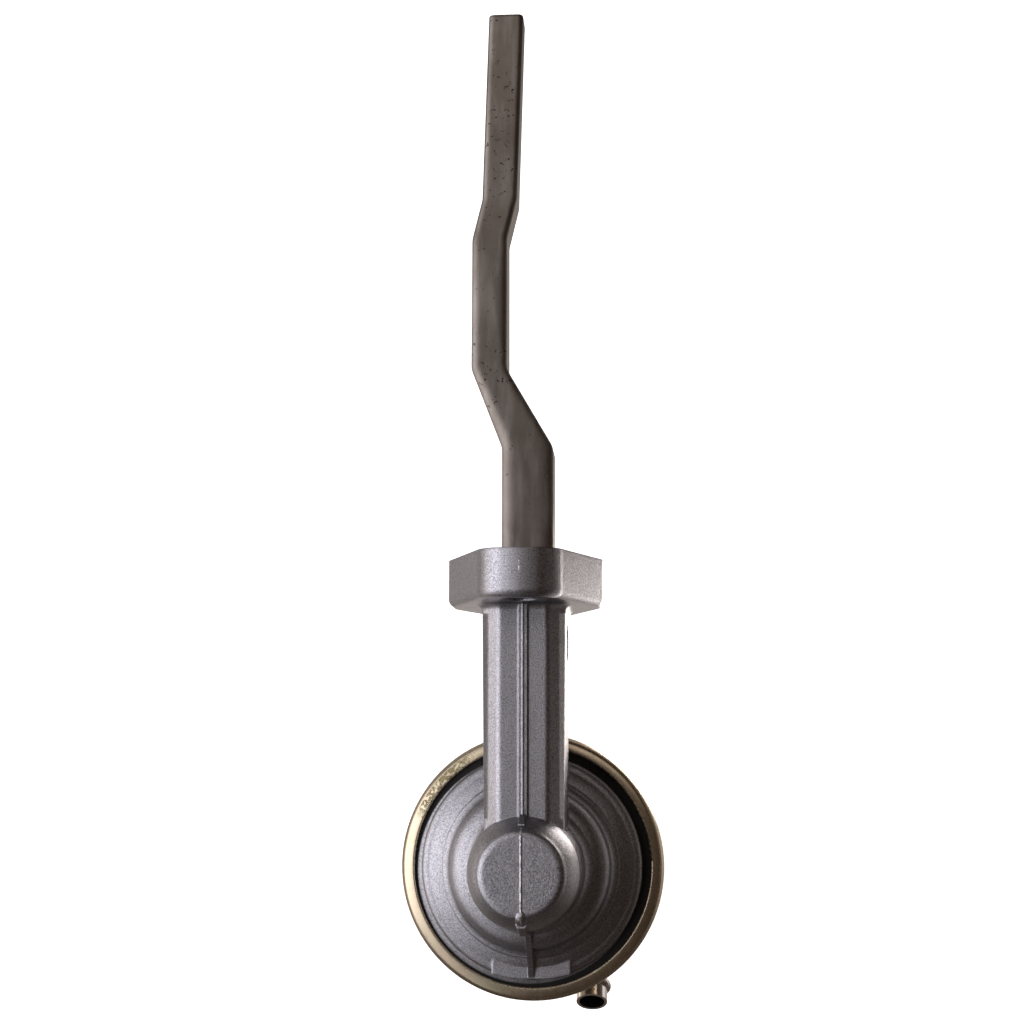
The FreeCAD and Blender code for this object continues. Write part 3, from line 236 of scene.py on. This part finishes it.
class Tree:
    """A node tree with short calls that add nodes and join them."""

    def __init__(self, tree):
        self.tree = tree
        tree.nodes.clear()

    def add(self, kind, inputs=None, **settings):
        """A node with its settings, and its inputs set to values or joined to sockets."""
        node = self.tree.nodes.new(kind)
        for name, value in settings.items():
            setattr(node, name, value)
        for name, value in (inputs or {}).items():
            if isinstance(value, bpy.types.NodeSocket):
                self.tree.links.new(value, node.inputs[name])
            else:
                node.inputs[name].default_value = value
        return node

    def place(self):
        """Coordinates in the piece's own frame, in metres."""
        return self.add("ShaderNodeTexCoord").outputs["Object"]

    def grain(self, size, detail=2.0, roughness=0.5, stretch=(1, 1, 1), shift=0.0):
        """Cloudy noise whose lumps are about size metres across."""
        mapped = self.add("ShaderNodeMapping", {"Vector": self.place(), "Scale": stretch,
                                                "Location": (shift, shift, shift)})
        node = self.add("ShaderNodeTexNoise", {"Vector": mapped.outputs[0], "Scale": 1 / size,
                                               "Detail": detail, "Roughness": roughness})
        return node.outputs["Fac"]

    def ramp(self, value, *stops):
        """A value turned into others, each stop a place and a grey level."""
        node = self.add("ShaderNodeValToRGB", {"Fac": value})
        band = node.color_ramp
        while len(band.elements) < len(stops):
            band.elements.new(0.5)
        for element, (place, level) in zip(band.elements, stops):
            element.position = place
            element.color = (level, level, level, 1)
        return node.outputs["Color"]

    def blend(self, share, low, high):
        """A colour between two others."""
        node = self.add("ShaderNodeMix", data_type="RGBA")
        for index, value in ((0, share), (6, low), (7, high)):
            if isinstance(value, bpy.types.NodeSocket):
                self.tree.links.new(value, node.inputs[index])
            elif isinstance(value, (int, float)):
                node.inputs[index].default_value = value
            else:
                node.inputs[index].default_value = (*value, 1)
        return node.outputs[2]

    def math(self, operation, *values):
        """Arithmetic on values."""
        node = self.add("ShaderNodeMath", operation=operation)
        for index, value in enumerate(values):
            if isinstance(value, bpy.types.NodeSocket):
                self.tree.links.new(value, node.inputs[index])
            else:
                node.inputs[index].default_value = value
        return node.outputs[0]

    def spread(self, value, low, high):
        """A value from 0 to 1 spread between two levels."""
        node = self.add("ShaderNodeMapRange", {"Value": value, "To Min": low, "To Max": high})
        return node.outputs[0]

    def step(self, value, low, high):
        """0 below low and 1 above high, or the other way round, with a smooth change between."""
        flip = high < low
        limits = {"Value": value, "From Min": min(low, high), "From Max": max(low, high),
                  "To Min": float(flip), "To Max": float(not flip)}
        node = self.add("ShaderNodeMapRange", limits, interpolation_type="SMOOTHSTEP")
        return node.outputs[0]

    def turned(self, vector, azimuth):
        """How many degrees a vector's azimuth is from the one named, 0 to 180."""
        across, along, _ = self.split(vector)
        angle = self.math("ARCTAN2", along, across)
        apart = self.math("SUBTRACT", angle, math.radians(azimuth))
        folded = self.math("ARCCOSINE", self.math("COSINE", apart))
        return self.math("DEGREES", folded)

    def vector(self, operation, *vectors, **inputs):
        """Arithmetic on vectors or colours."""
        values = {**dict(enumerate(vectors)), **inputs}
        return self.add("ShaderNodeVectorMath", values, operation=operation).outputs

    def tint(self, level, colour):
        """A level times a colour."""
        return self.vector("SCALE", colour, Scale=level)[0]

    def sum(self, *colours):
        """Colours added up."""
        total = colours[0]
        for colour in colours[1:]:
            total = self.vector("ADD", total, colour)[0]
        return total

    def within(self, value, low, high, soft):
        """1 between low and high and 0 outside, with soft ends."""
        return self.math("MULTIPLY", self.step(value, low - soft, low), self.step(value, high + soft, high))

    def all_of(self, *masks):
        """Masks multiplied together."""
        total = masks[0]
        for mask in masks[1:]:
            total = self.math("MULTIPLY", total, mask)
        return total

    def sum_of(self, *values):
        """Values added up."""
        total = values[0]
        for value in values[1:]:
            total = self.math("ADD", total, value)
        return total

    def from_axis(self):
        """The vector from the foot of the pump's upright axis."""
        return self.vector("SUBTRACT", self.place(), (0, PUMP_AXIS, 0))[0]

    def radius(self, shift=(0, 0, 0)):
        """Distance from the pump's upright axis, or from a line beside it."""
        moved = self.vector("SUBTRACT", self.from_axis(), shift)[0]
        flat = self.vector("MULTIPLY", moved, (1, 1, 0))[0]
        return self.vector("LENGTH", flat)["Value"]

    def bump(self, height, depth, strength=1.0, below=None):
        """A surface raised by height times depth metres."""
        inputs = {"Height": height, "Distance": depth, "Strength": strength}
        if below is not None:
            inputs["Normal"] = below
        return self.add("ShaderNodeBump", inputs).outputs[0]

    def split(self, vector):
        """The three coordinates of a vector."""
        return self.add("ShaderNodeSeparateXYZ", {"Vector": vector}).outputs


def surface(name):
    """A new material's tree and its main shader, joined to the output."""
    material = bpy.data.materials.new(name)
    material.use_nodes = True
    tree = Tree(material.node_tree)
    shader = tree.add("ShaderNodeBsdfPrincipled")
    tree.add("ShaderNodeOutputMaterial", {"Surface": shader.outputs[0]})
    return material, tree, shader


def join(tree, shader, **inputs):
    """Sets or joins inputs of a shader, named with underscores for spaces."""
    for name, value in inputs.items():
        socket = shader.inputs[name.replace("_", " ")]
        if isinstance(value, bpy.types.NodeSocket):
            tree.tree.links.new(value, socket)
        elif isinstance(value, (int, float)):
            socket.default_value = value
        else:
            socket.default_value = (*value, 1)


def crimp_ledge(tree, height):
    """The flat ledge that the rim is rolled over, and the part of it under the rolled lip, where shade is
    painted.
    """
    around = tree.within(tree.radius(), SKIRT_RADIUS + 0.1 * MM, RIM_EDGE, 0.2 * MM)
    ledge = tree.all_of(around, tree.within(height, *LEDGE_HEIGHTS, 1 * MM))
    beyond = tree.step(tree.radius(GAP_CENTRE), GAP_RADIUS - 0.3 * MM, GAP_RADIUS + 0.3 * MM)
    return ledge, tree.all_of(ledge, beyond)


def flash_line(tree, away, along, height):
    """The thin broken line of flash where the halves of the die met."""
    broken = tree.ramp(tree.grain(1.3 * MM, detail=3, roughness=0.7, shift=0.1), (0.44, 0.0), (0.52, 1.0))
    lengths = tree.math("ADD", tree.within(along, *CAP_FLASH, 0.5 * MM),
                        tree.within(along, *FLANGE_FLASH, 0.3 * MM))
    thin = tree.step(away, FLASH_HALF[1], FLASH_HALF[0])
    return tree.all_of(thin, tree.step(height, FLASH_FOOT, FLASH_FOOT + 1 * MM), broken, lengths)


def cast_normal(tree, across, away, along, height):
    """Rounded edges, wider away from the seam and on the cap, with a crowned nose and soft neck sides."""
    cap = tree.all_of(tree.step(height, CAP_FOOT, CAP_FOOT + 1 * MM), tree.step(away, 1 * MM, 2 * MM),
                      tree.step(along, CAP_BACK, CAP_BACK - 2 * MM))
    side = tree.math("MULTIPLY", tree.step(away, 3 * MM, 6 * MM), SIDE_ROUND)
    round_by = tree.sum_of(SEAM_ROUND, side, tree.math("MULTIPLY", cap, CAP_ROUND))
    soft = tree.add("ShaderNodeBevel", {"Radius": round_by}, samples=8).outputs[0]
    nose = tree.all_of(tree.step(height, NOSE_FOOT - 2 * MM, NOSE_FOOT),
                       tree.step(away, NOSE_HALF + 0.5 * MM, NOSE_HALF - 0.5 * MM),
                       tree.step(along, FLANGE_BACK - 1 * MM, FLANGE_BACK))
    neck = tree.all_of(tree.step(away, NECK_HALF - 2.4 * MM, NECK_HALF - 0.9 * MM),
                       tree.step(height, 0, 2 * MM), tree.within(along, *NECK_ENDS, 1 * MM))
    crown = tree.math("MULTIPLY", nose, tree.math("DIVIDE", across, NOSE_CROWN))
    lean = tree.sum_of(crown, tree.all_of(neck, tree.math("SIGN", across), NECK_LEAN))
    leant = tree.vector("ADD", soft, tree.tint(lean, (1, 0, 0)))[0]
    return tree.vector("NORMALIZE", leant)[0]


def cast_aluminium():
    """Shot-blasted die casting: grey with a fine sparkle and soft edges, with painted shade on the ledge
    under the crimp.
    """
    material, tree, shader = surface("cast_aluminium")
    fine = tree.grain(CAST_GRAIN, detail=3, roughness=0.75)
    colour = tree.blend(tree.ramp(fine, (0.36, 0.0), (0.64, 1.0)), *CAST_COLOURS)
    shade = tree.spread(tree.grain(14 * MM, detail=3), *CAST_SHADE)
    colour = tree.add("ShaderNodeHueSaturation", {"Color": colour, "Value": shade}).outputs[0]
    across, along, height = tree.split(tree.place())
    away = tree.math("ABSOLUTE", across)
    ledge, gap_shade = crimp_ledge(tree, height)
    flash = tree.math("MULTIPLY", flash_line(tree, away, along, height), FLASH_SHARE)
    colour = tree.blend(flash, colour, FLASH_COLOUR)
    # Painted shade: the ledge under the rolled rim turns near-black, matt and not metallic
    colour = tree.blend(gap_shade, colour, GAP_SHADE_COLOUR)
    beyond = tree.math("SUBTRACT", tree.radius(), SKIRT_RADIUS)
    fall = tree.math("MULTIPLY", tree.math("MULTIPLY", beyond, LEDGE_FALL), ledge)
    normal = tree.bump(fall, 1.0, 1.0, cast_normal(tree, across, away, along, height))
    normal = tree.bump(tree.grain(DENT_SIZE, detail=2), DENT_HEIGHT, 0.5, normal)
    normal = tree.bump(fine, CAST_GRAIN_HEIGHT, 0.8, normal)
    gloss = tree.spread(tree.grain(1.1 * MM, shift=0.2), *CAST_ROUGHNESS)
    join(tree, shader, Base_Color=colour, Normal=normal, Roughness=tree.math("MAXIMUM", gloss, gap_shade),
         Metallic=tree.math("MULTIPLY", tree.math("SUBTRACT", 1.0, gap_shade), CAST_METAL))
    return material


def forged_steel():
    """Dark forged steel with a rolled skin, rounded edges, small pits and worn streaks."""
    material, tree, shader = surface("forged_steel")
    along = tree.split(tree.place())["Y"]
    at_crank = tree.math("MULTIPLY", tree.within(along, *CRANK_PITS, 5 * MM), 0.8)
    gathered = tree.sum_of(tree.within(along, *TIP_PITS, 8 * MM), at_crank)
    hollows = tree.math("SUBTRACT", tree.grain(1.5 * MM, detail=4, roughness=0.65, shift=0.4),
                        tree.math("MULTIPLY", gathered, PIT_GATHER))
    pits = tree.ramp(hollows, (0.29, 1.0), (0.345, 0.0))
    streaks = tree.grain(3.5 * MM, detail=4, stretch=(1, 0.16, 1))
    colour = tree.blend(tree.grain(9 * MM, detail=4, roughness=0.6), *STEEL_COLOURS)
    colour = tree.blend(tree.ramp(streaks, (0.45, 0.0), (0.7, 0.6)), colour, WORN_COLOUR)
    colour = tree.blend(pits, colour, PIT_COLOUR)
    crank = tree.math("MULTIPLY", tree.step(along, 104 * MM, 90 * MM), CRANK_ROUND)
    root = tree.math("MULTIPLY", tree.step(along, 62 * MM, 40 * MM), ROOT_ROUND)
    soft = tree.add("ShaderNodeBevel", {"Radius": tree.sum_of(TIP_ROUND, crank, root)}, samples=6).outputs[0]
    skin = tree.bump(tree.grain(0.7 * MM, detail=3), SKIN_HEIGHT, 0.5, soft)
    pitted = tree.bump(tree.math("SUBTRACT", 1.0, pits), PIT_DEPTH, 0.8, skin)
    join(tree, shader, Base_Color=colour, Metallic=STEEL_METAL, Normal=pitted,
         Roughness=tree.spread(streaks, *STEEL_ROUGHNESS))
    return material


def galled_place(tree, radius):
    """The torn marks that the rolling tool left on the rim."""
    torn = tree.ramp(tree.grain(1.1 * MM, detail=4, roughness=0.7, shift=0.9), (0.47, 0.0), (0.54, 1.0))
    return tree.all_of(tree.step(tree.turned(tree.from_axis(), GALLED_AZIMUTH), 22, 12),
                       tree.within(radius, RIM_LIP + 0.3 * MM, RIM_EDGE - 1.6 * MM, 0.5 * MM), torn)


def yellow_zinc():
    """Yellow zinc plate: olive and gold with faint pink and green, its rim crowned by rolling and galled."""
    material, tree, shader = surface("yellow_zinc")
    tint = tree.grain(6 * MM, detail=2, shift=0.7)
    colour = tree.blend(tree.grain(11 * MM, detail=3), *ZINC_COLOURS)
    colour = tree.blend(tree.ramp(tint, (0.5, 0.0), (0.75, 0.35)), colour, ZINC_PINK)
    colour = tree.blend(tree.ramp(tint, (0.25, 0.3), (0.45, 0.0)), colour, ZINC_GREEN)
    radius = tree.radius()
    galled = galled_place(tree, radius)
    colour = tree.blend(galled, colour, GALLED_COLOUR)
    out = tree.math("SUBTRACT", radius, RIM_LIP)
    crown = tree.math("MULTIPLY", tree.math("MULTIPLY", out, out), -0.5 / RIM_CROWN)
    crown = tree.math("MULTIPLY", crown, tree.step(radius, RIM_LIP - 1 * MM, RIM_LIP))
    torn = tree.bump(tree.math("MULTIPLY", galled, -1.0), GALLED_DEPTH, 0.8, tree.bump(crown, 1.0))
    skin = tree.bump(tree.grain(0.5 * MM, detail=3, roughness=0.7), ZINC_SKIN_HEIGHT, 0.4, torn)
    join(tree, shader, Base_Color=colour, Metallic=ZINC_METAL, Normal=skin,
         Roughness=tree.spread(tree.grain(2 * MM, shift=0.3), *ZINC_ROUGHNESS))
    return material


def plain_metal(name, colour, roughness, speck=0.06, grain_mm=0.8):
    """A metal with a little grain in its colour, gloss and surface."""
    material, tree, shader = surface(name)
    fine = tree.grain(grain_mm * MM, detail=3, roughness=0.6)
    dark = tuple(level * (1 - speck * 2) for level in colour)
    light = tuple(min(1, level * (1 + speck)) for level in colour)
    join(tree, shader, Base_Color=tree.blend(fine, dark, light), Metallic=1.0,
         Roughness=tree.spread(tree.grain(4 * MM, shift=0.5), roughness * 0.8, roughness * 1.2),
         Normal=tree.bump(fine, 0.02 * MM, 0.3))
    return material


def matt_rubber(name, colour, weave=False):
    """Rubber or fibre sheet, with a woven face where asked."""
    material, tree, shader = surface(name)
    height = tree.grain(0.5 * MM, detail=3)
    if weave:
        waves = [tree.add("ShaderNodeTexWave", {"Vector": tree.place(), "Scale": 320.0},
                          bands_direction=way).outputs["Fac"] for way in ("X", "Y")]
        height = tree.math("MULTIPLY", *waves)
    light = tuple(level * 1.8 + 0.01 for level in colour)
    join(tree, shader, Base_Color=tree.blend(height, colour, light), Metallic=0.0, Roughness=0.7,
         Normal=tree.bump(height, 0.05 * MM, 0.5))
    return material


def make_materials():
    """One material for each slot of the record."""
    return {
        "cast_aluminium": cast_aluminium(),
        "forged_steel": forged_steel(),
        "yellow_zinc": yellow_zinc(),
        "hardened_steel": plain_metal("hardened_steel", (0.56, 0.56, 0.57), 0.22, 0.03),
        "plain_steel": plain_metal("plain_steel", (0.48, 0.47, 0.46), 0.38),
        "zinc_steel": plain_metal("zinc_steel", (0.66, 0.68, 0.72), 0.28),
        "spring_steel": plain_metal("spring_steel", (0.33, 0.33, 0.34), 0.30),
        "bright_plated": plain_metal("bright_plated", (0.78, 0.75, 0.74), 0.12, 0.02),
        "brass": plain_metal("brass", (0.78, 0.60, 0.29), 0.26),
        "bronze": plain_metal("bronze", (0.60, 0.41, 0.24), 0.42),
        "black_rubber": matt_rubber("black_rubber", (0.022, 0.022, 0.022)),
        "diaphragm_fabric": matt_rubber("diaphragm_fabric", (0.05, 0.05, 0.055), weave=True),
        "gasket": matt_rubber("gasket", (0.08, 0.065, 0.05)),
    }


def dress(materials):
    """Gives each carried-over node its slot's material."""
    for row in frame["record"]["subparts"]:
        mesh = NODES[row["node"]].data
        mesh.materials.clear()
        mesh.materials.append(materials[row["material_slot"]])


def add_drop(material):
    """The rounded drop of metal that the die left on the cap's front wall."""
    form = bmesh.new()
    rings = []
    for height, radius in DROP_RINGS:
        middle = PUMP_AXIS - DROP_REACH - (CAP_TOP - height) * DROP_SLOPE
        rings.append([form.verts.new((radius * math.cos(turn), middle + radius * math.sin(turn), height))
                      for turn in (2 * math.pi * i / DROP_SIDES for i in range(DROP_SIDES))])
    for low, high in zip(rings[1:], rings):
        for i in range(DROP_SIDES):
            j = (i + 1) % DROP_SIDES
            form.faces.new((low[i], low[j], high[j], high[i]))
    form.faces.new(rings[0])
    form.faces.new(rings[-1][::-1])
    mesh = bpy.data.meshes.new("casting_drop")
    form.to_mesh(mesh)
    form.free()
    mesh.shade_smooth()
    mesh.materials.append(material)
    drop = bpy.data.objects.new("casting_drop", mesh)
    bpy.context.scene.collection.objects.link(drop)
    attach(drop, "pump_body")


def add_squeezed():
    """The springs and the diaphragm again, as copies attached to the pump body, with their originals hidden.
    """
    for name, joint, still, travel in SQUEEZED:
        piece = bpy.data.objects.new(name + "_moving", NODES[name].data.copy())
        bpy.context.scene.collection.objects.link(piece)
        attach(piece, "pump_body")
        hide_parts(name)
        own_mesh(piece)


def ray_is(tree, *kinds):
    """1 for rays of the kinds named."""
    path = tree.add("ShaderNodeLightPath")
    share = path.outputs[kinds[0]]
    for kind in kinds[1:]:
        share = tree.math("MAXIMUM", share, path.outputs[kind])
    return share


def painted_floor_reflection(tree):
    """Painted reflection: the glow that metal mirrors in the floor, pale around the pump, brighter at one
    spot and at the far left.
    """
    spot = tree.vector("SUBTRACT", tree.place(), (*FLOOR_CENTRE, 0))[0]
    across, along, _ = tree.split(spot)
    reach = tree.vector("LENGTH", spot)["Value"]
    from_hot = tree.vector("DISTANCE", tree.place(), (*HOT_SPOT, 0))["Value"]
    under = tree.math("MULTIPLY", tree.step(reach, *UNDER_REACH), UNDER_LEVEL)
    hot = tree.math("MULTIPLY", tree.step(from_hot, *HOT_REACH), HOT_LEVEL)
    around = tree.math("MULTIPLY", tree.step(tree.turned(spot, AROUND_AZIMUTH), *AROUND_EDGE),
                       tree.step(reach, *AROUND_REACH))
    right = tree.math("MULTIPLY", tree.step(across, *RIGHT_ACROSS), RIGHT_LEVEL)
    beside = tree.all_of(tree.step(across, *BESIDE_ACROSS), tree.step(along, *BESIDE_ALONG), BESIDE_LEVEL)
    level = tree.math("MULTIPLY", around, tree.sum_of(AROUND_LEVEL, right, beside))
    level = tree.math("ADD", tree.math("MAXIMUM", level, under), hot)
    far_left = tree.math("MULTIPLY", tree.step(tree.turned(spot, FAR_LEFT_AZIMUTH), *FAR_LEFT_EDGE),
                         tree.step(reach, *FAR_LEFT_REACH))
    level = tree.math("ADD", tree.math("MULTIPLY", far_left, FAR_LEFT_LEVEL), level)
    return tree.sum(tree.tint(level, WARM_LIGHT), ROOM)


def floor_material():
    """White to the eye, with the pump's shadow, and a painted reflection that glows only in what metal
    mirrors.
    """
    material = bpy.data.materials.new("floor")
    material.use_nodes = True
    tree = Tree(material.node_tree)
    shown = tree.math("MULTIPLY", ray_is(tree, "Is Camera Ray"), FLOOR_WHITE)
    glossy = tree.tint(ray_is(tree, "Is Glossy Ray", "Is Transmission Ray"), (1, 1, 1))
    painted_reflection = tree.vector("MULTIPLY", painted_floor_reflection(tree), glossy)[0]
    glow_colour = tree.sum(painted_reflection, tree.tint(shown, (1, 1, 1)))
    glow = tree.add("ShaderNodeEmission", {"Color": glow_colour, "Strength": 1.0})
    # Painted reflection: the floor's matt white is dimmed in what metal mirrors
    dimmed = tree.math("MULTIPLY", ray_is(tree, "Is Glossy Ray"), GLOSSY_DIM)
    matt_level = tree.math("SUBTRACT", FLOOR_WHITE, dimmed)
    matt = tree.add("ShaderNodeBsdfDiffuse", {"Color": tree.tint(matt_level, (1, 1, 1))})
    both = tree.add("ShaderNodeAddShader", {0: glow.outputs[0], 1: matt.outputs[0]})
    tree.add("ShaderNodeOutputMaterial", {"Surface": both.outputs[0]})
    return material


def make_floor():
    """A pale floor below the pump."""
    form = bmesh.new()
    bmesh.ops.create_grid(form, x_segments=1, y_segments=1, size=FLOOR_SIDE / 2)
    mesh = bpy.data.meshes.new("floor")
    form.to_mesh(mesh)
    form.free()
    mesh.materials.append(floor_material())
    floor = bpy.data.objects.new("floor", mesh)
    floor.location.z = cad_box[0].z - FLOOR_GAP
    bpy.context.scene.collection.objects.link(floor)


def make_light():
    """A dark room with a tall soft light at the left, white to the eye."""
    world = bpy.data.worlds.new("world")
    world.use_nodes = True
    tree = Tree(world.node_tree)
    way = tree.add("ShaderNodeTexCoord").outputs["Generated"]
    across, along, height = tree.split(way)
    tall = tree.math("MULTIPLY", tree.step(tree.turned(way, TALL_AZIMUTH), *TALL_EDGE), TALL_LIGHT)
    broad = tree.math("MULTIPLY", tree.step(tree.turned(way, BROAD_AZIMUTH), *BROAD_EDGE), BROAD_LIGHT)
    left = tree.math("MULTIPLY", tree.step(across, *LEFT_SIDE), tree.math("ADD", tall, broad))
    above = tree.all_of(tree.step(height, *OVERHEAD_HEIGHT), tree.step(across, *OVERHEAD_SIDE),
                        OVERHEAD_LIGHT)
    beyond = tree.all_of(tree.step(along, *FAR_ALONG), tree.step(height, *FAR_HEIGHT), FAR_LIGHT)
    right = tree.all_of(tree.step(tree.turned(way, RIGHT_AZIMUTH), *RIGHT_EDGE),
                        tree.step(height, *RIGHT_HEIGHT), RIGHT_LIGHT)
    total = tree.sum(ROOM, tree.tint(left, LEFT_LIGHT), tree.tint(above, LEFT_LIGHT),
                     tree.tint(beyond, WARM_LIGHT), tree.tint(right, WARM_LIGHT))
    white = tree.blend(ray_is(tree, "Is Camera Ray"), total, (1, 1, 1))
    background = tree.add("ShaderNodeBackground", {"Color": white, "Strength": 1.0})
    tree.add("ShaderNodeOutputWorld", {"Surface": background.outputs[0]})
    bpy.context.scene.world = world
    bpy.context.scene.view_settings.view_transform = "Standard"


make_camera()
materials = make_materials()
dress(materials)
add_drop(materials["cast_aluminium"])
add_squeezed()
make_floor()
make_light()
